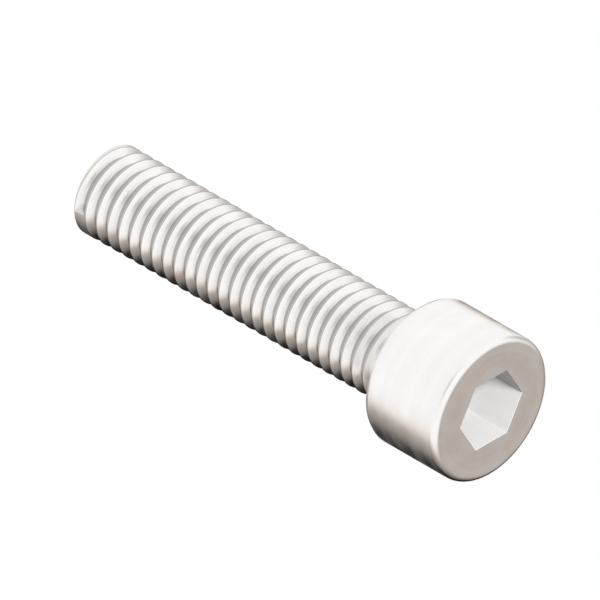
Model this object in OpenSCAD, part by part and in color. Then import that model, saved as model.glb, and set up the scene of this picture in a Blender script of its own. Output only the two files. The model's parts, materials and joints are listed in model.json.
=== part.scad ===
// Socket head cap screw, threaded along its whole shank.
// The axis is Z. The origin is the centre of the head's flat face, on which the screw
// stands, and the shank points up.

/* [Head] */
// Diameter of the head
head_d = 12.8; // [12:0.1:14]
// Height of the head, from its flat face to its bearing face
head_h = 7.9; // [7:0.1:9]
// Radius of the rounded edge round the flat face
rim_r = 0.5; // [0.2:0.05:0.8]
// Width of the bevel round the bearing face
bevel_w = 0.2; // [0.1:0.05:0.5]
// Height of that bevel up the side of the head
bevel_h = 0.4; // [0.1:0.05:0.8]

/* [Socket] */
// Width of the hexagon across its flats
hex_w = 6.02; // [5:0.02:6.5]
// Depth of the hexagon's straight walls
hex_depth = 4.5; // [3:0.1:5]
// Depth of the cone beyond those walls
cone_depth = 1.2; // [0.5:0.1:1.6]
// Width of the ledge between the flats and the cone
cone_ledge = 0.2; // [0.1:0.05:0.5]
// Turn of the hexagon about the axis, with a corner towards +X at zero
hex_turn = 30; // [0:5:55]

/* [Thread] */
// Diameter over the crests
thread_d = 7.9; // [7:0.1:9]
// Length of the shank, from the bearing face to the tip
shank_l = 35.1; // [12:0.1:80]
// Distance from one turn to the next
pitch = 1.25; // [0.8:0.05:1.5]
// Hand of the thread
thread_hand = "left"; // [left, right]
// Direction in which the thread starts at the tip, from +X towards +Y
thread_start = -90; // [-180:5:175]
// Turns over which the groove runs out towards the head
runout_turns = 0.5; // [0.25:0.25:1.5]
// Edge break round the tip
tip_break = 0.05; // [0.05:0.05:0.3]

/* [Neck] */
// Length of the plain neck between the bearing face and the thread
neck_l = 0.5; // [0.4:0.1:2]
// Depth of the neck's surface below the crests
neck_drop = 0.2; // [0.1:0.05:0.4]
// Radius of the fillet between the neck and the bearing face
neck_fillet = 0.4; // [0.1:0.05:0.8]

/* [Hidden] */
steel = [0.85, 0.82, 0.79];

// Form of the thread: a 60 degree V with a flat crest and a wider flat root
v_angle = 60;
crest_w = pitch / 8;
root_w = pitch / 4;
groove_w = pitch - crest_w;
flank_slope = tan(v_angle / 2);
thread_depth = (groove_w - root_w) / 2 / flank_slope;

// Straight steps in one turn of the thread, and in the circles of the head and its edges
steps = 24;
round_fn = 64;
edge_fn = 32;
hand = thread_hand == "left" ? 1 : -1;

head_r = head_d / 2;
crest_r = thread_d / 2;
neck_r = crest_r - neck_drop;
fillet_r = min(neck_fillet, neck_l);
neck_top = head_h + neck_l;
tip_z = head_h + shank_l;
edge_z = tip_z - tip_break;

// Land between the edge break and the first edge of the groove
start_land = tip_break / 4;
// Share of the groove's depth that is left where the run-out ends
runout_end = 0.05;
// How far one shape reaches into the next, so that they join or cut cleanly
lap = 0.1;

groove_z = edge_z - start_land - groove_w / 2;
rows = floor((groove_z - groove_w / 2 - neck_top) / pitch * steps);

// The groove is a row of four corners at each step: its upper edge, the two corners
// of its root, and its lower edge, going down from the tip to the head
function row_angle(k) = thread_start + hand * k * 360 / steps;

function row_depth(k) =
    thread_depth * min(1, max(runout_end, (rows - k) / steps / runout_turns));

function on_ring(r, z, k) = [r * cos(row_angle(k)), r * sin(row_angle(k)), z];

function row_points(k) =
    let (
        mid = groove_z - k * pitch / steps,
        depth = row_depth(k),
        root = root_w / 2,
        edge = root + depth * flank_slope
    )
    [
        on_ring(crest_r, mid + edge, k),
        on_ring(crest_r - depth, mid + root, k),
        on_ring(crest_r - depth, mid - root, k),
        on_ring(crest_r, mid - edge, k)
    ];

function flat_ring(r, z) = [for (k = [0 : steps - 1]) on_ring(r, z, k)];

function shank_points() = concat(
    flat_ring(crest_r - tip_break, tip_z),
    flat_ring(crest_r, edge_z),
    flat_ring(crest_r, neck_top),
    [for (k = [0 : rows]) each row_points(k)]
);

// Places of those points in the list: three flat rings, then the rows
function tip_at(k) = k % steps;
function edge_at(k) = steps + k % steps;
function neck_at(k) = 2 * steps + k % steps;
function groove_at(k, corner) = 3 * steps + 4 * k + corner;

// A panel is named by its corners as seen from outside: upper ones, then lower ones
function panel(upper_a, upper_b, lower_b, lower_a) =
    [[upper_a, upper_b, lower_b], [upper_a, lower_b, lower_a]];

function tip_faces() = concat(
    [[for (k = [steps - 1 : -1 : 0]) tip_at(k)]],
    [for (k = [0 : steps - 1])
        each panel(tip_at(k), tip_at(k + 1), edge_at(k + 1), edge_at(k))],
    [for (k = [0 : steps - 2])
        each panel(edge_at(k), edge_at(k + 1), groove_at(k + 1, 0), groove_at(k, 0))]
);

function start_faces() =
    let (
        above = edge_at(steps - 1),
        down = [edge_at(0), groove_at(0, 0), groove_at(0, 3), groove_at(steps, 0)]
    )
    concat(
        [for (i = [0 : 2]) [above, down[i], down[i + 1]]],
        [[above, groove_at(steps, 0), groove_at(steps - 1, 0)]],
        panel(groove_at(0, 0), groove_at(0, 1), groove_at(0, 2), groove_at(0, 3))
    );

function groove_faces() = concat(
    [for (k = [0 : rows - 1], corner = [0 : 2])
        each panel(
            groove_at(k, corner), groove_at(k + 1, corner),
            groove_at(k + 1, corner + 1), groove_at(k, corner + 1)
        )],
    [for (k = [0 : rows - steps - 1])
        each panel(
            groove_at(k, 3), groove_at(k + 1, 3),
            groove_at(k + 1 + steps, 0), groove_at(k + steps, 0)
        )]
);

function end_faces() =
    let (
        below = neck_at(rows + 1),
        down = [groove_at(rows - steps, 3), groove_at(rows, 0), groove_at(rows, 3), neck_at(rows)]
    )
    concat(
        [[down[0], groove_at(rows - steps + 1, 3), below]],
        [for (i = [0 : 2]) [down[i], below, down[i + 1]]],
        panel(groove_at(rows, 3), groove_at(rows, 2), groove_at(rows, 1), groove_at(rows, 0)),
        [for (k = [rows - steps + 1 : rows - 1])
            each panel(groove_at(k, 3), groove_at(k + 1, 3), neck_at(k + 1), neck_at(k))],
        [[for (k = [0 : steps - 1]) neck_at(k)]]
    );

function turned(face) = [for (i = [len(face) - 1 : -1 : 0]) face[i]];

function handed(faces) = hand > 0 ? faces : [for (face = faces) turned(face)];

module threaded_shank() {
    polyhedron(
        points = shank_points(),
        faces = handed(concat(tip_faces(), start_faces(), groove_faces(), end_faces()))
    );
}

// Half section of the head, with its rounded rim and its bevel
module head_section() {
    polygon([
        [0, 0],
        [head_r - rim_r, 0],
        [head_r, rim_r],
        [head_r, head_h - bevel_h],
        [head_r - bevel_w, head_h],
        [0, head_h]
    ]);
    translate([head_r - rim_r, rim_r]) circle(r = rim_r, $fn = edge_fn);
}

// Half section of the neck, with the fillet that spreads onto the bearing face
module neck_section() {
    translate([0, head_h - lap]) square([neck_r, neck_l + lap + crest_w]);
    difference() {
        translate([neck_r - lap, head_h - lap]) square(fillet_r + lap);
        translate([neck_r + fillet_r, head_h + fillet_r]) circle(r = fillet_r, $fn = edge_fn);
    }
}

module socket_cut() {
    hex_r = hex_w / 2 / cos(30);
    cone_r = hex_w / 2 - cone_ledge;
    rotate([0, 0, hex_turn])
        translate([0, 0, -lap]) cylinder(r = hex_r, h = hex_depth + lap, $fn = 6);
    rotate_extrude($fn = round_fn)
        polygon([
            [0, hex_depth - lap],
            [cone_r, hex_depth - lap],
            [cone_r, hex_depth],
            [0, hex_depth + cone_depth]
        ]);
}

module head() {
    difference() {
        rotate_extrude($fn = round_fn) {
            head_section();
            neck_section();
        }
        socket_cut();
    }
}

module screw() {
    color(steel) {
        head();
        threaded_shank();
    }
}

screw();
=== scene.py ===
"""Looks of a socket head cap screw that is threaded along its whole shank.

The screw stands on the flat face of its head, with its tip up. One fine mesh stands for
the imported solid: a lathed head with a hexagonal socket, and a helical thread that starts
at the tip with a small square wall and runs out above the neck. Lengths are millimetres
until the finished mesh is scaled to metres.
"""

import json
import logging
import math
from dataclasses import dataclass, field
from enum import Enum

import bmesh
import bpy
from bmesh.types import BMEdge, BMesh, BMFace, BMVert
from mathutils import Matrix, Vector


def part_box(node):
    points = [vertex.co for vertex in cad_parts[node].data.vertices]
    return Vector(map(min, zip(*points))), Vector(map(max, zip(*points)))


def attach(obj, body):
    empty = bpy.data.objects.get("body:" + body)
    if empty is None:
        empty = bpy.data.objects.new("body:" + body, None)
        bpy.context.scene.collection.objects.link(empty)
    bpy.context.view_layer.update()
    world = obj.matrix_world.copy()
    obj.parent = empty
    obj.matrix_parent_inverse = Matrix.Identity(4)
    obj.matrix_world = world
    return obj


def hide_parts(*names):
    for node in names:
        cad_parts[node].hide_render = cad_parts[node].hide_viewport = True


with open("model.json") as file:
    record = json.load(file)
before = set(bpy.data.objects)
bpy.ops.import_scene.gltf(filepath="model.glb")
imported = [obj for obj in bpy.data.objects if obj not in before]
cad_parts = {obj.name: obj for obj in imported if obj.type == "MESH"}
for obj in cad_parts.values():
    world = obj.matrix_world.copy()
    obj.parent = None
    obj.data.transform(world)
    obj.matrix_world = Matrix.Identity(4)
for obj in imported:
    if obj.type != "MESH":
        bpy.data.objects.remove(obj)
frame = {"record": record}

LOG = logging.getLogger("screw")
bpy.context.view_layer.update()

NODE = "screw"
BODY = "root"

MM = 0.001
AXIS = Vector((0, 0, 1))

# Points nearer than WELD become one, and CLEAR keeps points apart through a weld
WELD = 0.002
CLEAR = 2 * WELD
# How much longer than an edge a path through one of its own points may measure
STRAIGHT = WELD / 10

# Straight steps in a full turn here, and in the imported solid's thread
ROUND_STEPS = 96
SOLID_STEPS = 24


class Hand(Enum):
    """Which way the thread turns about the axis as it goes down from the tip."""

    LEFT = 1
    RIGHT = -1


class Part(Enum):
    """Stretches of the surface with a finish of their own, and their material index."""

    HEAD = 0
    SOCKET = 1
    THREAD = 2
    END = 3


@dataclass(frozen=True)
class Corner:
    """A corner of an outline in the half plane beside the axis.

    Attributes:
        radius: Distance from the axis.
        height: Height above the head's flat face.
        rounding: How far along each side the corner is rounded.
        arcs: Straight steps in the rounding.
    """

    radius: float
    height: float
    rounding: float = 0.0
    arcs: int = 2


def lay_outline(bm: BMesh, corners: list[Corner], turn: float) -> list[BMEdge]:
    """Lays a chain of edges through the corners and rounds those that ask for it.

    Args:
        bm: The mesh that takes the chain.
        corners: The corners in order.
        turn: Angle of the half plane about the axis, in radians.

    Returns:
        The edges of the chain.
    """
    before = set(bm.edges)
    verts = [
        bm.verts.new((c.radius * math.cos(turn), c.radius * math.sin(turn), c.height))
        for c in corners
    ]
    for upper, lower in zip(verts, verts[1:]):
        bm.edges.new((upper, lower))
    for corner, vert in zip(corners, verts):
        if corner.rounding > 0:
            bmesh.ops.bevel(
                bm,
                geom=[vert],
                offset=corner.rounding,
                affect="VERTICES",
                segments=corner.arcs,
                profile=0.5,
                material=-1,
            )
    return [edge for edge in bm.edges if edge not in before]


def ends_of(edges: list[BMEdge]) -> list[BMVert]:
    """Returns each vertex of the edges once, in a steady order."""
    return list(dict.fromkeys(vert for edge in edges for vert in edge.verts))


def only(kind: type, geometry: list) -> list:
    """Returns the elements of one kind from an operator's result."""
    return [element for element in geometry if isinstance(element, kind)]


def flatten(bm: BMesh, verts: list[BMVert], height: float) -> None:
    """Brings vertices to one height, straight up or down."""
    plane = Matrix.Translation((0, 0, -height))
    bmesh.ops.scale(bm, vec=(1, 1, 0), space=plane, verts=verts)


def grow(bm: BMesh, edges: list[BMEdge]) -> list[BMEdge]:
    """Extrudes a chain or ring of edges in place and returns the new edges."""
    made = bmesh.ops.extrude_edge_only(bm, edges=edges)["geom"]
    return only(BMEdge, made)


def settle(bm: BMesh) -> None:
    """Sorts edges and faces by their points, so that each run gives the same mesh.

    Spin leaves them in an order that changes from run to run. Sorting moves them in
    memory, so no set of them may be kept across it.

    Args:
        bm: The mesh, whose points are in a steady order already.
    """
    bm.verts.index_update()
    for elements in (bm.edges, bm.faces):
        points = {element: sorted(vert.index for vert in element.verts) for element in elements}
        ranked = sorted(points, key=points.get)
        order = {element: number for number, element in enumerate(ranked)}
        elements.sort(key=order.get)


def radius_of(vert: BMVert) -> float:
    """Returns the distance of a vertex from the axis."""
    return vert.co.xy.length


def mark(bm: BMesh, known: set[BMFace], part: Part) -> set[BMFace]:
    """Gives the faces that aren't known yet their material index.

    Args:
        bm: The mesh.
        known: The faces that keep their index.
        part: The stretch of the surface that the other faces belong to.

    Returns:
        All faces of the mesh, which are known from now on.
    """
    for face in bm.faces:
        if face not in known:
            face.material_index = part.value
    return set(bm.faces)


@dataclass
class Thread:
    """The helical thread, from the tip down to the top of the neck.

    Attributes:
        crest_r: Radius over the crests.
        tip_z: Height of the tip.
        foot_z: Height of the top of the neck, where the thread ends.
        pitch: Distance from one turn to the next.
        hand: Which way it winds.
        start: Direction in which it starts at the tip, in degrees from +X towards +Y.
        start_drop: How far below the tip the groove's upper edge starts.
        v_angle: Angle between the groove's two flanks, in degrees.
        crest_share: Width of the flat crest, as a share of the pitch.
        root_share: Width of the flat root, as a share of the pitch.
        tip_break: Edge break round the tip.
        crest_round: Rounding of the crest's two edges.
        crest_lead: How much of the crest the outline takes in at each end, in roundings.
        root_round: Rounding of the root's two corners.
        runout_turns: Turns over which the groove runs out.
        runout_end: Share of the depth that is left at its end.
    """

    crest_r: float
    tip_z: float
    foot_z: float
    pitch: float = 1.25
    hand: Hand = Hand.LEFT
    start: float = -90.0
    start_drop: float = 0.0625
    v_angle: float = 60.0
    crest_share: float = 1 / 8
    root_share: float = 1 / 4
    tip_break: float = 0.05
    crest_round: float = 0.05
    crest_lead: float = 1.2
    root_round: float = 0.06
    runout_turns: float = 0.5
    runout_end: float = 0.05

    @property
    def groove_w(self) -> float:
        """Width of the groove at the crests."""
        return self.pitch * (1 - self.crest_share)

    @property
    def root_w(self) -> float:
        """Width of the groove's flat root."""
        return self.pitch * self.root_share

    @property
    def depth(self) -> float:
        """Full depth of the groove."""
        return (self.groove_w - self.root_w) / 2 / math.tan(math.radians(self.v_angle / 2))

    @property
    def groove_z(self) -> float:
        """Height of the groove's middle where it starts."""
        return self.tip_z - self.start_drop - self.groove_w / 2

    @property
    def rows(self) -> int:
        """Steps from the groove's start to its end, which lies where the solid's does."""
        drop = self.groove_z - self.groove_w / 2 - self.foot_z
        return math.floor(drop / self.pitch * SOLID_STEPS) * ROUND_STEPS // SOLID_STEPS

    @property
    def start_turn(self) -> float:
        """Direction of the start in radians."""
        return math.radians(self.start)

    def build(self, bm: BMesh) -> None:
        """Builds the thread with its flat tip, open at the bottom.

        Args:
            bm: The mesh that takes it.
        """
        self._sweep(bm)
        self._trim_start(bm)
        self._run_out(bm)
        mark(bm, set(), Part.THREAD)
        rims = [edge for edge in bm.edges if edge.is_boundary and self._is_rim(edge)]
        middle = (self.tip_z + self.foot_z) / 2
        upper = [edge for edge in rims if edge.verts[0].co.z > middle]
        lower = [edge for edge in rims if edge.verts[0].co.z < middle]
        ring = self._close_tip(bm, upper)
        self._reach_neck(bm, lower)
        bmesh.ops.remove_doubles(bm, verts=bm.verts, dist=WELD)
        settle(bm)
        known = set(bm.faces)
        self._wall_steps(bm)
        mark(bm, known, Part.HEAD)
        LOG.info("thread: %d rows, tip ring of %d edges", self.rows, len(ring))

    def _section(self, bm: BMesh) -> list[BMEdge]:
        """Lays one pitch of the thread's outline at the start, from crest to crest.

        Args:
            bm: The mesh that takes it.

        Returns:
            The outline's edges.
        """
        groove, root = self.groove_w / 2, self.root_w / 2
        root_r = self.crest_r - self.depth
        lead = self.crest_round * self.crest_lead
        middle = self.groove_z
        corners = [
            Corner(self.crest_r, middle + groove + lead),
            Corner(self.crest_r, middle + groove, self.crest_round),
            Corner(root_r, middle + root, self.root_round),
            Corner(root_r, middle - root, self.root_round),
            Corner(self.crest_r, middle - groove, self.crest_round),
            Corner(self.crest_r, middle + groove + lead - self.pitch),
        ]
        return lay_outline(bm, corners, self.start_turn)

    def _spin(self, bm: BMesh, geometry: list, steps: int) -> list:
        """Sweeps a section down the helix.

        Args:
            bm: The mesh that takes the sweep.
            geometry: The section's edges and vertices.
            steps: How many steps to sweep it.

        Returns:
            The section where the sweep ends.
        """
        return bmesh.ops.spin(
            bm,
            geom=geometry,
            cent=(0, 0, 0),
            axis=AXIS,
            dvec=(0, 0, -self.pitch / ROUND_STEPS),
            angle=self.hand.value * math.tau * steps / ROUND_STEPS,
            steps=steps,
        )["geom_last"]

    def _sweep(self, bm: BMesh) -> None:
        """Sweeps the part turn at the top, then one whole turn, and repeats that one.

        Args:
            bm: The mesh that takes it.
        """
        whole, part = divmod(self.rows, ROUND_STEPS)
        section = self._section(bm)
        last = section + ends_of(section)
        if part:
            last = self._spin(bm, last, part)
        above = set(bm.faces)
        self._spin(bm, last, ROUND_STEPS)
        faces = [face for face in bm.faces if face not in above]
        corners = {vert for face in faces for vert in face.verts}
        # With its points listed, each copy's points come in the order of the turn's own
        turn = [vert for vert in bm.verts if vert in corners] + faces
        for number in range(1, whole):
            copy = bmesh.ops.duplicate(bm, geom=turn)["geom"]
            drop = Vector((0, 0, -number * self.pitch))
            bmesh.ops.translate(bm, vec=drop, verts=only(BMVert, copy))
        bmesh.ops.remove_doubles(bm, verts=bm.verts, dist=WELD)

    def _steps_down(self, place: Vector) -> tuple[float, float]:
        """Finds where a point lies on the groove.

        Args:
            place: A point on the thread's surface.

        Returns:
            The turns from the start, and the height above the groove's middle there.
        """
        angle = self.hand.value * (math.atan2(place.y, place.x) - self.start_turn)
        share = angle / math.tau % 1.0
        fall = (self.groove_z - place.z) / self.pitch
        turns = share + round(fall - share)
        return turns, (turns - fall) * self.pitch

    def _trim_start(self, bm: BMesh) -> None:
        """Keeps the first crest just below the tip's edge break.

        Args:
            bm: The mesh of the swept groove.
        """
        limit = self.tip_z - self.tip_break - CLEAR
        for vert in bm.verts:
            vert.co.z = min(vert.co.z, limit)
        bmesh.ops.remove_doubles(bm, verts=bm.verts, dist=WELD)

    def _run_out(self, bm: BMesh) -> None:
        """Makes the groove shallower and narrower over its last stretch.

        The last crest's lower rim lies past the groove's end. It stays where it is, as
        long as it is above the neck.

        Args:
            bm: The mesh of the swept groove.
        """
        end = self.rows / ROUND_STEPS
        half_step = 0.5 / ROUND_STEPS
        root = self.root_w / 2
        for vert in bm.verts:
            turns, above = self._steps_down(vert.co)
            if turns > end + half_step:
                vert.co.z = max(vert.co.z, self.foot_z + CLEAR)
                continue
            share = max(self.runout_end, (end - turns) / self.runout_turns)
            if share >= 1:
                continue
            radius = self.crest_r - (self.crest_r - radius_of(vert)) * share
            vert.co.xy = vert.co.xy.normalized() * radius
            beyond = abs(above) - root
            if beyond > 0:
                vert.co.z -= math.copysign(beyond * (1 - share), above)

    def _is_rim(self, edge: BMEdge) -> bool:
        """Says whether an open edge runs round the crest, not down a section."""
        first, second = (vert.co.xy for vert in edge.verts)
        return abs(first.cross(second)) > WELD * self.crest_r

    def _close_tip(self, bm: BMesh, rim: list[BMEdge]) -> list[BMEdge]:
        """Raises the first crest to the tip, breaks its edge and fills the flat end.

        Args:
            bm: The mesh that takes it.
            rim: The open upper rim of the first crest.

        Returns:
            The ring below the tip's edge break.
        """
        edge_z = self.tip_z - self.tip_break
        known = set(bm.faces)
        raised = grow(bm, rim)
        flatten(bm, ends_of(raised), edge_z)
        bmesh.ops.remove_doubles(bm, verts=ends_of(raised), dist=WELD)
        known = mark(bm, known, Part.END)
        ring = [
            edge
            for edge in bm.edges
            if edge.is_boundary and all(abs(vert.co.z - edge_z) < WELD for vert in edge.verts)
        ]
        face_ring = grow(bm, ring)
        flatten(bm, ends_of(face_ring), self.tip_z)
        shrink = 1 - self.tip_break / self.crest_r
        bmesh.ops.scale(bm, vec=(shrink, shrink, 1), verts=ends_of(face_ring))
        known = mark(bm, known, Part.THREAD)
        bmesh.ops.contextual_create(bm, geom=face_ring)
        mark(bm, known, Part.END)
        return ring

    def _reach_neck(self, bm: BMesh, rim: list[BMEdge]) -> None:
        """Carries the last crest down to the top of the neck.

        Args:
            bm: The mesh that takes it.
            rim: The open lower rim of the last crest.
        """
        known = set(bm.faces)
        foot = grow(bm, rim)
        flatten(bm, ends_of(foot), self.foot_z)
        mark(bm, known, Part.THREAD)

    def _wall_steps(self, bm: BMesh) -> None:
        """Splits the long upright edge at each end of the groove and fills the walls.

        Args:
            bm: The mesh, which is open there.
        """
        open_edges = [edge for edge in bm.edges if edge.is_boundary]
        uprights = [edge for edge in open_edges if not self._is_rim(edge)]
        crest = [
            vert
            for vert in ends_of(uprights)
            if abs(radius_of(vert) - self.crest_r) < WELD
        ]
        for vert in sorted(crest, key=lambda vert: vert.co.z):
            for edge in [edge for edge in bm.edges if edge.is_boundary]:
                if not self._is_rim(edge) and self._passes(edge, vert):
                    share = (vert.co - edge.verts[0].co).length / edge.calc_length()
                    bmesh.utils.edge_split(edge, edge.verts[0], share)
        bmesh.ops.remove_doubles(bm, verts=bm.verts, dist=WELD)
        openings = [edge for edge in bm.edges if edge.is_boundary and not self._is_rim(edge)]
        bmesh.ops.holes_fill(bm, edges=openings, sides=0)

    @staticmethod
    def _passes(edge: BMEdge, vert: BMVert) -> bool:
        """Says whether a vertex lies within an edge, away from both its ends.

        Args:
            edge: The edge.
            vert: The vertex.

        Returns:
            True if it lies there.
        """
        first, second = (end.co for end in edge.verts)
        parts = (vert.co - first).length, (vert.co - second).length
        return min(parts) > WELD and sum(parts) - edge.calc_length() < STRAIGHT


@dataclass
class Head:
    """The cylindrical head, with its rounded rim, its bevel and the neck above it.

    Attributes:
        radius: Radius of the head.
        height: From the flat face to the bearing face.
        crest_r: Radius over the thread's crests, which the neck's top meets.
        start: Direction in which the lathed outline starts, in radians.
        rim_round: Radius of the rounded edge round the flat face.
        rim_arcs: Straight steps in that rounding.
        face_inset: Width of the flat face's outer ring, inside the rounded rim.
        bevel_w: Width of the bevel round the bearing face.
        bevel_h: Height of that bevel up the side.
        neck_l: Length of the plain neck.
        neck_drop: Depth of the neck's surface below the crests.
        fillet: Radius of the fillet between the neck and the bearing face.
        fillet_arcs: Straight steps in that fillet.
        softness: Rounding of the bevel's two edges, which are sharp on the solid.
    """

    radius: float
    height: float
    crest_r: float
    start: float
    rim_round: float = 0.5
    rim_arcs: int = 10
    face_inset: float = 0.06
    bevel_w: float = 0.2
    bevel_h: float = 0.4
    neck_l: float = 0.5
    neck_drop: float = 0.2
    fillet: float = 0.4
    fillet_arcs: int = 8
    softness: float = 0.03

    @property
    def foot_z(self) -> float:
        """Height of the top of the neck."""
        return self.height + self.neck_l

    @property
    def face_r(self) -> float:
        """Radius at which the flat face ends and the rounded rim begins."""
        return self.radius - self.rim_round

    def build(self, bm: BMesh) -> list[BMEdge]:
        """Builds the head's outside, open at the neck's top and inside the flat face.

        Args:
            bm: The mesh that takes it.

        Returns:
            The inner edges of the flat face's ring.
        """
        neck_r = self.crest_r - self.neck_drop
        inner_r = self.face_r - self.face_inset
        corners = [
            Corner(inner_r, 0),
            Corner(self.radius, 0, self.rim_round, self.rim_arcs),
            Corner(self.radius, self.height - self.bevel_h, self.softness),
            Corner(self.radius - self.bevel_w, self.height, self.softness),
            Corner(neck_r, self.height, self.fillet, self.fillet_arcs),
            Corner(neck_r, self.foot_z),
            Corner(self.crest_r, self.foot_z),
        ]
        outline = lay_outline(bm, corners, self.start)
        bmesh.ops.spin(
            bm,
            geom=outline + ends_of(outline),
            cent=(0, 0, 0),
            axis=AXIS,
            angle=math.tau,
            steps=ROUND_STEPS,
            use_merge=True,
        )
        return [
            edge
            for edge in bm.edges
            if edge.is_boundary and all(abs(radius_of(v) - inner_r) < WELD for v in edge.verts)
        ]


@dataclass
class Socket:
    """The hexagonal socket, with a shallow cone below its straight walls.

    Attributes:
        width: Width across the flats.
        depth: Depth of the straight walls.
        cone_depth: Depth of the cone beyond them.
        ledge: Width of the ledge between the flats and the cone.
        corner_round: Rounding of the hexagon's corners.
        corner_arcs: Straight steps in that rounding.
        mouth_break: Edge break round the mouth.
        sides: Sides of the socket.
    """

    width: float = 6.02
    depth: float = 4.5
    cone_depth: float = 1.2
    ledge: float = 0.2
    corner_round: float = 0.06
    corner_arcs: int = 3
    mouth_break: float = 0.04
    sides: int = field(default=6, init=False)

    def join(self, bm: BMesh, face_ring: list[BMEdge]) -> list[BMEdge]:
        """Fills the flat face up to the socket's mouth and breaks the mouth's edge.

        Args:
            bm: The mesh that takes it.
            face_ring: The inner edges of the flat face's outer ring.

        Returns:
            The upper edges of the socket's walls.
        """
        mouth = self._hexagon(bm)
        bmesh.ops.bridge_loops(bm, edges=face_ring + mouth)
        wall_top = grow(bm, mouth)
        shrink = 1 - self.mouth_break / (self.width / 2 + self.mouth_break)
        bmesh.ops.scale(bm, vec=(shrink, shrink, 1), verts=ends_of(wall_top))
        flatten(bm, ends_of(wall_top), self.mouth_break)
        return wall_top

    def build(self, bm: BMesh, wall_top: list[BMEdge]) -> None:
        """Builds the socket inwards from the edge of its mouth.

        Args:
            bm: The mesh that takes it.
            wall_top: The upper edges of the walls.
        """
        wall_end = grow(bm, wall_top)
        flatten(bm, ends_of(wall_end), self.depth)
        self._close(bm, wall_end)

    def _hexagon(self, bm: BMesh) -> list[BMEdge]:
        """Makes the ring of the mouth, with rounded corners towards +Y and -Y.

        Args:
            bm: The mesh that takes it.

        Returns:
            The ring's edges, as many as the head has steps.
        """
        radius = (self.width / 2 + self.mouth_break) / math.cos(math.pi / self.sides)
        verts = bmesh.ops.create_circle(bm, segments=self.sides, radius=radius)["verts"]
        before = set(bm.edges) - {edge for vert in verts for edge in vert.link_edges}
        for vert in verts:
            bmesh.ops.bevel(
                bm,
                geom=[vert],
                offset=self.corner_round,
                affect="VERTICES",
                segments=self.corner_arcs,
                profile=0.5,
                material=-1,
            )
        ring = [edge for edge in bm.edges if edge not in before]
        flats = sorted(ring, key=lambda edge: -edge.calc_length())[: self.sides]
        cuts = ROUND_STEPS // self.sides - self.corner_arcs - 1
        bmesh.ops.subdivide_edges(bm, edges=flats, cuts=cuts)
        return [edge for edge in bm.edges if edge not in before]

    def _close(self, bm: BMesh, wall_end: list[BMEdge]) -> None:
        """Closes the socket with its ledge and cone.

        Args:
            bm: The mesh that takes it.
            wall_end: The inner edges of the walls.
        """
        base = Matrix.Translation((0, 0, self.depth))
        ring = bmesh.ops.create_circle(
            bm,
            segments=ROUND_STEPS,
            radius=self.width / 2 - self.ledge,
            matrix=base,
        )["verts"]
        edges = list(dict.fromkeys(edge for vert in ring for edge in vert.link_edges))
        bmesh.ops.bridge_loops(bm, edges=wall_end + edges)
        tip = grow(bm, edges)
        bmesh.ops.scale(bm, vec=(0, 0, 1), verts=ends_of(tip))
        flatten(bm, ends_of(tip), self.depth + self.cone_depth)
        bmesh.ops.remove_doubles(bm, verts=ends_of(tip), dist=WELD)


@dataclass(frozen=True)
class Finish:
    """A satin steel surface.

    Attributes:
        name: Name of the material.
        light: Colour of its brighter patches.
        dark: Colour of its duller patches.
        smooth: Roughness where it is most polished.
        dull: Roughness where it is least polished.
        lines: Tool marks to the millimetre.
        line_depth: Height of the tool marks, in metres.
        grain_depth: Height of the grain, in metres.
        metal: 1 for bare metal, or 0 for a matt surface, such as the socket's dark painted
            shade.
        gloss: Specular level, which tells where the surface isn't bare metal.
        root_shade: Colour of the painted shade in a thread's root, darker where shade falls in
            the groove.
        skin: Colour of the painted shade along a thread's crest, darker so that each turn's
            edge reads as a line.
    """

    name: str
    light: tuple[float, float, float] = (0.9, 0.885, 0.87)
    dark: tuple[float, float, float] = (0.86, 0.845, 0.83)
    smooth: float = 0.26
    dull: float = 0.36
    lines: float = 7.0
    line_depth: float = 0.6e-6
    grain_depth: float = 0.4e-6
    metal: float = 1.0
    gloss: float = 0.2
    root_shade: tuple[float, float, float] = (0.4, 0.39, 0.38)
    skin: tuple[float, float, float] = (0.5, 0.485, 0.47)


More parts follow.
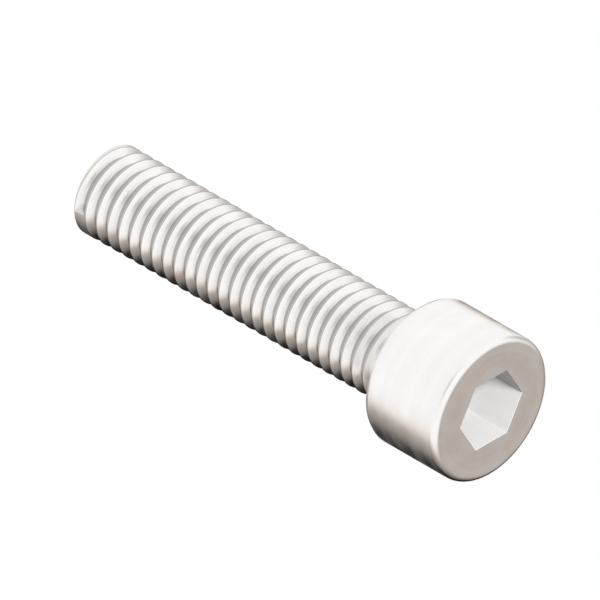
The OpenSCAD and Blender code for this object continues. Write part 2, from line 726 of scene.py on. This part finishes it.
@dataclass
class Tree:
    """A node tree, with short ways to add and join its nodes.

    Attributes:
        nodes: The tree's own node tree.
    """

    nodes: bpy.types.NodeTree

    def add(self, kind: str, feeds: dict | None = None, **settings: object) -> bpy.types.Node:
        """Adds a node, sets it up and feeds its inputs.

        Args:
            kind: The node's type.
            feeds: Values or other nodes' sockets, by the name or number of the input.
            **settings: The node's own settings.

        Returns:
            The new node.
        """
        node = self.nodes.nodes.new(kind)
        for name, value in settings.items():
            setattr(node, name, value)
        self.feed(node, feeds or {})
        return node

    def feed(self, node: bpy.types.Node, feeds: dict) -> None:
        """Links or sets a node's inputs.

        Args:
            node: The node.
            feeds: Values or other nodes' sockets, by the name or number of the input.
        """
        for socket, value in feeds.items():
            if isinstance(value, bpy.types.NodeSocket):
                self.nodes.links.new(value, node.inputs[socket])
            else:
                node.inputs[socket].default_value = value

    def maths(self, operation: str, *values: object) -> bpy.types.NodeSocket:
        """Adds a Math node and returns its result."""
        node = self.add("ShaderNodeMath", dict(enumerate(values)), operation=operation)
        return node.outputs[0]

    def mix(self, share: object, first: object, second: object,
            blend: str = "MIX") -> bpy.types.NodeSocket:
        """Mixes two colours.

        Args:
            share: Share of the second colour, as a value or a socket.
            first: The first colour.
            second: The second colour.
            blend: How they are mixed.

        Returns:
            The mixed colour.
        """
        node = self.add("ShaderNodeMix", {0: share, 6: first, 7: second},
                        data_type="RGBA", blend_type=blend)
        return node.outputs[2]

    def spread(self, value: bpy.types.NodeSocket, low: float, high: float,
               to_low: float, to_high: float) -> bpy.types.NodeSocket:
        """Maps a value from one range to another, with soft ends.

        Args:
            value: The value.
            low: Start of its own range.
            high: End of its own range.
            to_low: Result at the start.
            to_high: Result at the end.

        Returns:
            The mapped value.
        """
        feeds = {"Value": value, "From Min": low, "From Max": high,
                 "To Min": to_low, "To Max": to_high}
        node = self.add("ShaderNodeMapRange", feeds, interpolation_type="SMOOTHSTEP")
        return node.outputs["Result"]

    def group(self, group: bpy.types.NodeTree, feeds: dict) -> bpy.types.Node:
        """Places a node group and feeds its inputs.

        Args:
            group: The group.
            feeds: Values or other nodes' sockets, by the name of the input.

        Returns:
            The node that holds the group.
        """
        node = self.add("ShaderNodeGroup", node_tree=group)
        self.feed(node, feeds)
        return node


def new_group(name: str, takes: dict[str, str], gives: dict[str, str]) -> tuple:
    """Makes an empty node group with named sockets.

    Args:
        name: The group's name.
        takes: Type of each input by its name.
        gives: Type of each output by its name.

    Returns:
        The group, its tree, its input node and its output node.
    """
    group = bpy.data.node_groups.new(name, "ShaderNodeTree")
    for socket, kind in takes.items():
        group.interface.new_socket(socket, in_out="INPUT", socket_type=kind)
    for socket, kind in gives.items():
        group.interface.new_socket(socket, in_out="OUTPUT", socket_type=kind)
    tree = Tree(group)
    return group, tree, tree.add("NodeGroupInput"), tree.add("NodeGroupOutput")


# How finely the noise in the marks and the grain is broken up
FINE_DETAIL = 2.0
BAND_DETAIL = 1.0
LINE_CONTRAST = 0.6
# Broad bands to each fine tool mark, and slow patches of the grain to the millimetre
BANDS_TO_A_LINE = 0.15
PATCHES_TO_A_MM = 0.45
# Marks down the socket's walls change along X and Y, and stay the same along Z
ACROSS_WALLS = (1, 1, 0)


def lathe_place_group() -> bpy.types.NodeTree:
    """Makes the group that turns a place into its radius and height in millimetres.

    Returns:
        The group.
    """
    takes = {"Place": "NodeSocketVector"}
    gives = {"Round": "NodeSocketVector", "Radius": "NodeSocketFloat",
             "Place mm": "NodeSocketVector"}
    group, tree, given, out = new_group("lathe_place", takes, gives)
    scaled = tree.add("ShaderNodeVectorMath",
                      {0: given.outputs["Place"], 3: 1 / MM}, operation="SCALE")
    parts = tree.add("ShaderNodeSeparateXYZ", {0: scaled.outputs[0]})
    flat = tree.add("ShaderNodeCombineXYZ", {"X": parts.outputs["X"], "Y": parts.outputs["Y"]})
    length = tree.add("ShaderNodeVectorMath", {0: flat.outputs[0]}, operation="LENGTH")
    lathed = tree.add("ShaderNodeCombineXYZ",
                      {"X": length.outputs["Value"], "Y": parts.outputs["Z"]})
    links = group.links
    links.new(lathed.outputs[0], out.inputs["Round"])
    links.new(length.outputs["Value"], out.inputs["Radius"])
    links.new(scaled.outputs[0], out.inputs["Place mm"])
    return group


def tool_marks_group() -> bpy.types.NodeTree:
    """Makes the group of fine lines that a tool leaves, with broader bands among them.

    Returns:
        The group.
    """
    takes = {"Along": "NodeSocketVector", "Lines": "NodeSocketFloat"}
    gives = {"Height": "NodeSocketFloat", "Bands": "NodeSocketFloat"}
    group, tree, given, out = new_group("tool_marks", takes, gives)
    fine = tree.add("ShaderNodeTexNoise",
                    {"Vector": given.outputs["Along"], "Scale": given.outputs["Lines"],
                     "Detail": FINE_DETAIL, "Roughness": LINE_CONTRAST})
    broad_scale = tree.maths("MULTIPLY", given.outputs["Lines"], BANDS_TO_A_LINE)
    broad = tree.add("ShaderNodeTexNoise",
                     {"Vector": given.outputs["Along"], "Scale": broad_scale,
                      "Detail": BAND_DETAIL})
    group.links.new(fine.outputs["Fac"], out.inputs["Height"])
    group.links.new(broad.outputs["Fac"], out.inputs["Bands"])
    return group


def grain_group() -> bpy.types.NodeTree:
    """Makes the group of forged grain: a fine height and slow patches.

    Returns:
        The group.
    """
    takes = {"Place mm": "NodeSocketVector", "Fineness": "NodeSocketFloat"}
    gives = {"Height": "NodeSocketFloat", "Patches": "NodeSocketFloat"}
    group, tree, given, out = new_group("forged_grain", takes, gives)
    fine = tree.add("ShaderNodeTexNoise",
                    {"Vector": given.outputs["Place mm"], "Scale": given.outputs["Fineness"],
                     "Detail": FINE_DETAIL})
    slow = tree.add("ShaderNodeTexNoise",
                    {"Vector": given.outputs["Place mm"], "Scale": PATCHES_TO_A_MM,
                     "Detail": FINE_DETAIL})
    group.links.new(fine.outputs["Fac"], out.inputs["Height"])
    group.links.new(slow.outputs["Fac"], out.inputs["Patches"])
    return group


@dataclass
class Steelwork:
    """Makes the materials of the screw from their finishes.

    Attributes:
        thread: The thread, whose root and crest get painted shade.
        fineness: Specks of the grain to the millimetre.
        tone_range: Bands and patches, added up, where the steel is lightest and darkest.
        root_shade_reach: Heights above the root at which its painted shade thins and ends.
        crest_shade_reach: Depths below the crest at which its painted shade starts and is
            whole.
        lathe_place: The group that gives a place its radius and height.
        tool_marks: The group of tool marks.
        grain: The group of forged grain.
    """

    thread: Thread
    fineness: float = 9.0
    tone_range: tuple[float, float] = (0.6, 1.4)
    root_shade_reach: tuple[float, float] = (0.02, 0.07)
    crest_shade_reach: tuple[float, float] = (0.04, 0.015)
    lathe_place: bpy.types.NodeTree = field(default_factory=lathe_place_group)
    tool_marks: bpy.types.NodeTree = field(default_factory=tool_marks_group)
    grain: bpy.types.NodeTree = field(default_factory=grain_group)

    def material(self, part: Part, finish: Finish) -> bpy.types.Material:
        """Makes one material.

        Args:
            part: The stretch of the surface that wears it.
            finish: Its colours, roughness and marks.

        Returns:
            The material.
        """
        made = bpy.data.materials.new(finish.name)
        made.use_nodes = True
        tree = Tree(made.node_tree)
        shader = made.node_tree.nodes["Principled BSDF"]
        shader.inputs["Metallic"].default_value = finish.metal
        shader.inputs["Specular IOR Level"].default_value = finish.gloss
        place = tree.add("ShaderNodeTexCoord").outputs["Object"]
        lathe = tree.group(self.lathe_place, {"Place": place})
        along = lathe.outputs["Round"]
        if part is Part.SOCKET:
            feeds = {0: lathe.outputs["Place mm"], 1: ACROSS_WALLS}
            along = tree.add("ShaderNodeVectorMath", feeds, operation="MULTIPLY").outputs[0]
        marks = tree.group(self.tool_marks, {"Along": along, "Lines": finish.lines})
        grain = tree.group(self.grain, {"Place mm": lathe.outputs["Place mm"],
                                        "Fineness": self.fineness})
        mixed = tree.maths("ADD", marks.outputs["Bands"], grain.outputs["Patches"])
        tone = tree.spread(mixed, *self.tone_range, 0.0, 1.0)
        colour = tree.mix(tone, (*finish.light, 1), (*finish.dark, 1))
        # The thread gets painted shade in its roots and along its crests
        if part is Part.THREAD:
            colour = self._paint_thread_shade(tree, colour, lathe.outputs["Radius"], finish)
        roughness = tree.spread(tone, 0.0, 1.0, finish.smooth, finish.dull)
        links = made.node_tree.links
        links.new(colour, shader.inputs["Base Color"])
        links.new(roughness, shader.inputs["Roughness"])
        links.new(self._normal(tree, marks, grain, finish), shader.inputs["Normal"])
        return made

    def _paint_thread_shade(self, tree: Tree, colour: bpy.types.NodeSocket,
                     radius: bpy.types.NodeSocket, finish: Finish) -> bpy.types.NodeSocket:
        """Paints shade into the colour of the thread's root and along its crest.

        Args:
            tree: The material's tree.
            colour: Colour of the bare thread.
            radius: Distance from the axis, in millimetres.
            finish: The finish, with the colours of the painted shade on the root and the crest.

        Returns:
            The colour with both on it.
        """
        crest_r = self.thread.crest_r
        root_r = crest_r - self.thread.depth
        root_shade_thins, root_shade_ends = self.root_shade_reach
        crest_shade_starts, crest_shade_whole = self.crest_shade_reach
        # Painted shade: darker in the groove's root and along the crests, to mark each turn
        root_shade = tree.spread(radius, root_r + root_shade_thins, root_r + root_shade_ends, 1.0, 0.0)
        skin = tree.spread(radius, crest_r - crest_shade_starts, crest_r - crest_shade_whole, 0.0, 1.0)
        root_shaded = tree.mix(root_shade, colour, (*finish.root_shade, 1))
        return tree.mix(skin, root_shaded, (*finish.skin, 1))

    @staticmethod
    def _normal(tree: Tree, marks: bpy.types.Node, grain: bpy.types.Node,
                finish: Finish) -> bpy.types.NodeSocket:
        """Joins the tool marks and the grain into one bumped normal.

        Args:
            tree: The material's tree.
            marks: The node of the tool marks.
            grain: The node of the grain.
            finish: The finish, with the height of both.

        Returns:
            The normal.
        """
        lines = tree.maths("MULTIPLY", marks.outputs["Height"], finish.line_depth)
        specks = tree.maths("MULTIPLY", grain.outputs["Height"], finish.grain_depth)
        height = tree.maths("ADD", lines, specks)
        return tree.add("ShaderNodeBump", {"Height": height, "Distance": 1.0}).outputs["Normal"]


def mount(name: str) -> dict:
    """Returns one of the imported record's mounts by its name."""
    return next(entry for entry in frame["record"]["mounts"] if entry["name"] == name)


@dataclass
class Screw:
    """The whole screw as one closed piece.

    Attributes:
        head: The head and neck.
        socket: The socket in the head's flat face.
        thread: The thread and the tip.
        crisp: Angle between two faces, in degrees, from which their edge stays crisp.
    """

    head: Head
    socket: Socket
    thread: Thread
    crisp: float = 28.0

    @classmethod
    def from_frame(cls) -> "Screw":
        """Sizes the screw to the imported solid.

        Returns:
            The screw.
        """
        low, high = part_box(NODE)
        radius = (high.x - low.x) / 2 / MM
        tip_z = high.z / MM
        height = mount("bearing_face")["pos_m"][2] / MM
        crest_r = mount("thread")["dims"]["r_mm"]
        start = math.radians(Thread.start)
        head = Head(radius=radius, height=height, crest_r=crest_r, start=start)
        thread = Thread(crest_r=crest_r, tip_z=tip_z, foot_z=head.foot_z)
        return cls(head, Socket(), thread)

    def build(self) -> bpy.types.Object:
        """Builds the mesh, welds it and shades it.

        Returns:
            The piece, which has no material yet.
        """
        bm = bmesh.new()
        self.thread.build(bm)
        known = set(bm.faces)
        ring = self.head.build(bm)
        wall_top = self.socket.join(bm, ring)
        known = mark(bm, known, Part.HEAD)
        self.socket.build(bm, wall_top)
        mark(bm, known, Part.SOCKET)
        bmesh.ops.remove_doubles(bm, verts=bm.verts, dist=WELD)
        settle(bm)
        self._shade(bm)
        bmesh.ops.scale(bm, vec=(MM, MM, MM), verts=bm.verts)
        self._report(bm)
        mesh = bpy.data.meshes.new("screw_body")
        bm.to_mesh(mesh)
        bm.free()
        piece = bpy.data.objects.new("screw_body", mesh)
        bpy.context.scene.collection.objects.link(piece)
        return piece

    def dress(self, piece: bpy.types.Object) -> None:
        """Gives the piece its materials, in the order of Part.

        Args:
            piece: The piece.
        """
        steelwork = Steelwork(self.thread)
        finishes = {
            Part.HEAD: Finish("turned_steel"),
            # Painted shade: the socket is dark and matt, for the shade inside the hollow
            Part.SOCKET: Finish("punched_steel", lines=5.0, metal=0.0,
                                light=(0.26, 0.256, 0.252), dark=(0.245, 0.241, 0.237)),
            # The rolled thread's material carries painted shade in its roots and along its
            # crests
            Part.THREAD: Finish("rolled_steel", lines=9.0, smooth=0.19, dull=0.27),
            # Painted shade: the flat end and the first land below it are darker than the bare
            # steel
            Part.END: Finish("cut_steel", lines=5.0, smooth=0.3, dull=0.4,
                             light=(0.76, 0.745, 0.73), dark=(0.72, 0.705, 0.69)),
        }
        for part, finish in finishes.items():
            piece.data.materials.append(steelwork.material(part, finish))

    def _shade(self, bm: BMesh) -> None:
        """Turns the faces outwards and keeps true corners crisp.

        Args:
            bm: The closed mesh.
        """
        bmesh.ops.recalc_face_normals(bm, faces=bm.faces)
        crisp = math.radians(self.crisp)
        for face in bm.faces:
            face.smooth = True
        for edge in bm.edges:
            edge.smooth = edge.calc_face_angle(0.0) < crisp

    @staticmethod
    def _report(bm: BMesh) -> None:
        """Logs the size of the mesh and whether it is closed.

        Args:
            bm: The mesh, in metres.
        """
        open_edges = sum(not edge.is_manifold for edge in bm.edges)
        LOG.info("screw: %d faces, %d open edges, volume %.1f mm3",
                 len(bm.faces), open_edges, bm.calc_volume(signed=True) / MM**3)


@dataclass(frozen=True)
class PhotoCamera:
    """The photograph's parallel view, seen from the head's side of the screw.

    Attributes:
        right: Direction of the view's right.
        up: Direction of the view's up.
        back: Direction from the screw to the camera.
        image: Width of the picture in pixels.
        scale: Pixels to the millimetre across the view.
        centre_right: Middle of the picture, along the view's right, in millimetres.
        centre_up: Middle of the picture, along the view's up, in millimetres.
        distance: How far off the camera stands, in millimetres.
        clip: Nearest and furthest distance that it sees, in millimetres.
    """

    right: tuple[float, float, float] = (0, 1, -1)
    up: tuple[float, float, float] = (2, 1, 1)
    back: tuple[float, float, float] = (1, -1, -1)
    image: int = 600
    scale: float = 12.57
    centre_right: float = -15.206
    centre_up: float = 8.784
    distance: float = 200.0
    clip: tuple[float, float] = (10.0, 2000.0)

    def build(self) -> None:
        """Makes the camera and sets it as the scene's own."""
        right, up, back = (Vector(way).normalized() for way in (self.right, self.up, self.back))
        place = right * self.centre_right + up * self.centre_up + back * self.distance
        data = bpy.data.cameras.new("camera")
        data.type = "ORTHO"
        data.ortho_scale = self.image / self.scale * MM
        data.clip_start, data.clip_end = (reach * MM for reach in self.clip)
        camera = bpy.data.objects.new("camera", data)
        turn = Matrix((right, up, back)).transposed().to_4x4()
        camera.matrix_world = Matrix.Translation(place * MM) @ turn
        bpy.context.scene.collection.objects.link(camera)
        bpy.context.scene.camera = camera


@dataclass(frozen=True)
class Card:
    """A round card in the white surround, which the steel mirrors.

    Attributes:
        towards: Direction of its middle.
        tones: Its colour at some angles from its middle, in degrees.
    """

    towards: tuple[float, float, float]
    tones: dict[float, tuple[float, float, float]]

    def shade(self, tree: Tree, direction: bpy.types.NodeSocket) -> bpy.types.NodeSocket:
        """Adds the nodes that work out the card's colour in a direction.

        Args:
            tree: The surround's tree.
            direction: The direction.

        Returns:
            The colour.
        """
        middle = Vector(self.towards).normalized()
        nearness = tree.add("ShaderNodeVectorMath", {0: direction, 1: middle},
                            operation="DOT_PRODUCT").outputs["Value"]
        share = tree.maths("MULTIPLY_ADD", nearness, 0.5, 0.5)
        ramp = tree.add("ShaderNodeValToRGB", {"Fac": share})
        elements = ramp.color_ramp.elements
        elements.remove(elements[0])
        for number, angle in enumerate(sorted(self.tones, reverse=True)):
            place = math.cos(math.radians(angle)) / 2 + 0.5
            element = elements.new(place) if number else elements[0]
            element.position = place
            element.color = (*self.tones[angle], 1)
        return ramp.outputs["Color"]


SIDE_CARD = Card(
    towards=(-0.949, 0.219, 0.225),
    tones={
        27.5: (0.004, 0.004, 0.004),
        36: (0.2, 0.183, 0.17),
        43.5: (0.3, 0.268, 0.245),
        49.5: (0.33, 0.3, 0.28),
        55.5: (0.41, 0.355, 0.33),
        63: (0.96, 0.89, 0.8),
        71: (1, 1, 1),
    },
)
FACE_CARD = Card(
    towards=(-1, 1, -1),
    tones={12: (0.73, 0.71, 0.7), 22: (0.84, 0.83, 0.82), 33: (1, 1, 1)},
)
BACK_CARD = Card(
    towards=(-1, 1, 1.27),
    tones={9: (0.3, 0.29, 0.28), 17: (0.55, 0.54, 0.53), 25: (0.85, 0.84, 0.83), 33: (1, 1, 1)},
)
FAR_CARD = Card(
    towards=(0, 1, -0.05),
    tones={8: (0.42, 0.41, 0.4), 18: (0.7, 0.69, 0.68), 32: (1, 1, 1)},
)
NEAR_CARD = Card(
    towards=(1, -1, -0.15),
    tones={8: (0.62, 0.61, 0.6), 18: (0.82, 0.81, 0.8), 32: (1, 1, 1)},
)


@dataclass(frozen=True)
class Lamp:
    """A soft round lamp that faces the screw and leaves no mark in the steel.

    Attributes:
        name: Name of the lamp.
        place: Where it stands, in metres.
        size: Its diameter in metres.
        energy: Its power in watts.
    """

    name: str
    place: tuple[float, float, float]
    size: float
    energy: float

    def build(self) -> None:
        """Makes the lamp."""
        data = bpy.data.lights.new(self.name, "AREA")
        data.shape = "DISK"
        data.size = self.size
        data.energy = self.energy
        lamp = bpy.data.objects.new(self.name, data)
        place = Vector(self.place)
        facing = place.to_track_quat("Z", "Y").to_matrix().to_4x4()
        lamp.matrix_world = Matrix.Translation(place) @ facing
        lamp.visible_camera = False
        lamp.visible_glossy = False
        bpy.context.scene.collection.objects.link(lamp)


KEY_LAMP = Lamp("key", place=(0.16, -0.09, 0.26), size=0.22, energy=0.35)
FILL_LAMP = Lamp("fill", place=(0.176, -0.082, -0.21), size=0.1, energy=3.7)


@dataclass(frozen=True)
class Floor:
    """The pale matt floor, which only a camera above it sees.

    Attributes:
        radius: Its radius, in millimetres.
        drop: How far it lies below the head's flat face, in millimetres.
        steps: Straight steps in its edge.
        fade: Shares of its radius at which it starts to fade and is gone.
        colour: Its colour.
        roughness: Its roughness.
    """

    radius: float = 160.0
    drop: float = 0.05
    steps: int = 64
    fade: tuple[float, float] = (0.25, 0.95)
    colour: tuple[float, float, float] = (0.86, 0.86, 0.85)
    roughness: float = 0.9

    def build(self) -> None:
        """Makes the floor."""
        bm = bmesh.new()
        bmesh.ops.create_circle(bm, segments=self.steps, radius=self.radius * MM, cap_ends=True)
        bmesh.ops.translate(bm, vec=(0, 0, -self.drop * MM), verts=bm.verts)
        mesh = bpy.data.meshes.new("floor")
        bm.to_mesh(mesh)
        bm.free()
        floor = bpy.data.objects.new("floor", mesh)
        bpy.context.scene.collection.objects.link(floor)
        mesh.materials.append(self._material())

    def _material(self) -> bpy.types.Material:
        """Makes its material, which fades out towards the edge.

        Returns:
            The material.
        """
        made = bpy.data.materials.new("floor")
        made.use_nodes = True
        tree = Tree(made.node_tree)
        links = made.node_tree.links
        shader = made.node_tree.nodes["Principled BSDF"]
        shader.inputs["Base Color"].default_value = (*self.colour, 1)
        shader.inputs["Roughness"].default_value = self.roughness
        place = tree.add("ShaderNodeTexCoord").outputs["Object"]
        far = tree.add("ShaderNodeVectorMath", {0: place}, operation="LENGTH").outputs["Value"]
        fade_starts, fade_ends = (share * self.radius * MM for share in self.fade)
        near = tree.spread(far, fade_starts, fade_ends, 1, 0)
        camera = tree.add("ShaderNodeLightPath").outputs["Is Camera Ray"]
        behind = tree.add("ShaderNodeNewGeometry").outputs["Backfacing"]
        front = tree.maths("SUBTRACT", 1.0, behind)
        shown = tree.maths("MULTIPLY", tree.maths("MULTIPLY", camera, front), near)
        clear = tree.add("ShaderNodeBsdfTransparent").outputs[0]
        mix = tree.add("ShaderNodeMixShader", {0: shown, 1: clear, 2: shader.outputs[0]})
        links.new(mix.outputs[0], made.node_tree.nodes["Material Output"].inputs["Surface"])
        return made


@dataclass(frozen=True)
class Studio:
    """A white surround with darker cards, two soft lamps and a pale floor.

    Attributes:
        cards: The darker cards that the steel mirrors.
        lamps: The lamps, which light the matt socket and the floor.
        floor: The floor.
        white: Strength of the surround away from the cards.
    """

    cards: tuple[Card, ...] = (SIDE_CARD, FACE_CARD, BACK_CARD, FAR_CARD, NEAR_CARD)
    lamps: tuple[Lamp, ...] = (KEY_LAMP, FILL_LAMP)
    floor: Floor = Floor()
    white: float = 1.08

    def build(self) -> None:
        """Makes the surround, the lamps and the floor."""
        self._surround()
        for lamp in self.lamps:
            lamp.build()
        self.floor.build()

    def _surround(self) -> None:
        """Makes a world that is white to the eye and shaded in reflections."""
        world = bpy.data.worlds.new("surround")
        world.use_nodes = True
        bpy.context.scene.world = world
        tree = Tree(world.node_tree)
        background = world.node_tree.nodes["Background"]
        direction = tree.add("ShaderNodeTexCoord").outputs["Generated"]
        mirrored = (self.white,) * 3 + (1,)
        for card in self.cards:
            mirrored = tree.mix(1.0, mirrored, card.shade(tree, direction), "MULTIPLY")
        light_path = tree.add("ShaderNodeLightPath")
        straight = tree.maths("MAXIMUM", light_path.outputs["Is Camera Ray"],
                              light_path.outputs["Is Transmission Ray"])
        colour = tree.mix(straight, mirrored, (1, 1, 1, 1))
        world.node_tree.links.new(colour, background.inputs["Color"])


def main() -> None:
    """Builds the camera, the screw and the studio, in that order."""
    logging.basicConfig(level=logging.INFO)
    PhotoCamera().build()
    screw = Screw.from_frame()
    piece = screw.build()
    screw.dress(piece)
    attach(piece, BODY)
    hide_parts(NODE)
    LOG.info("%s rides on %s", piece.name, BODY)
    Studio().build()
    bpy.context.scene.view_settings.view_transform = "Standard"


if __name__ == "__main__":
    main()
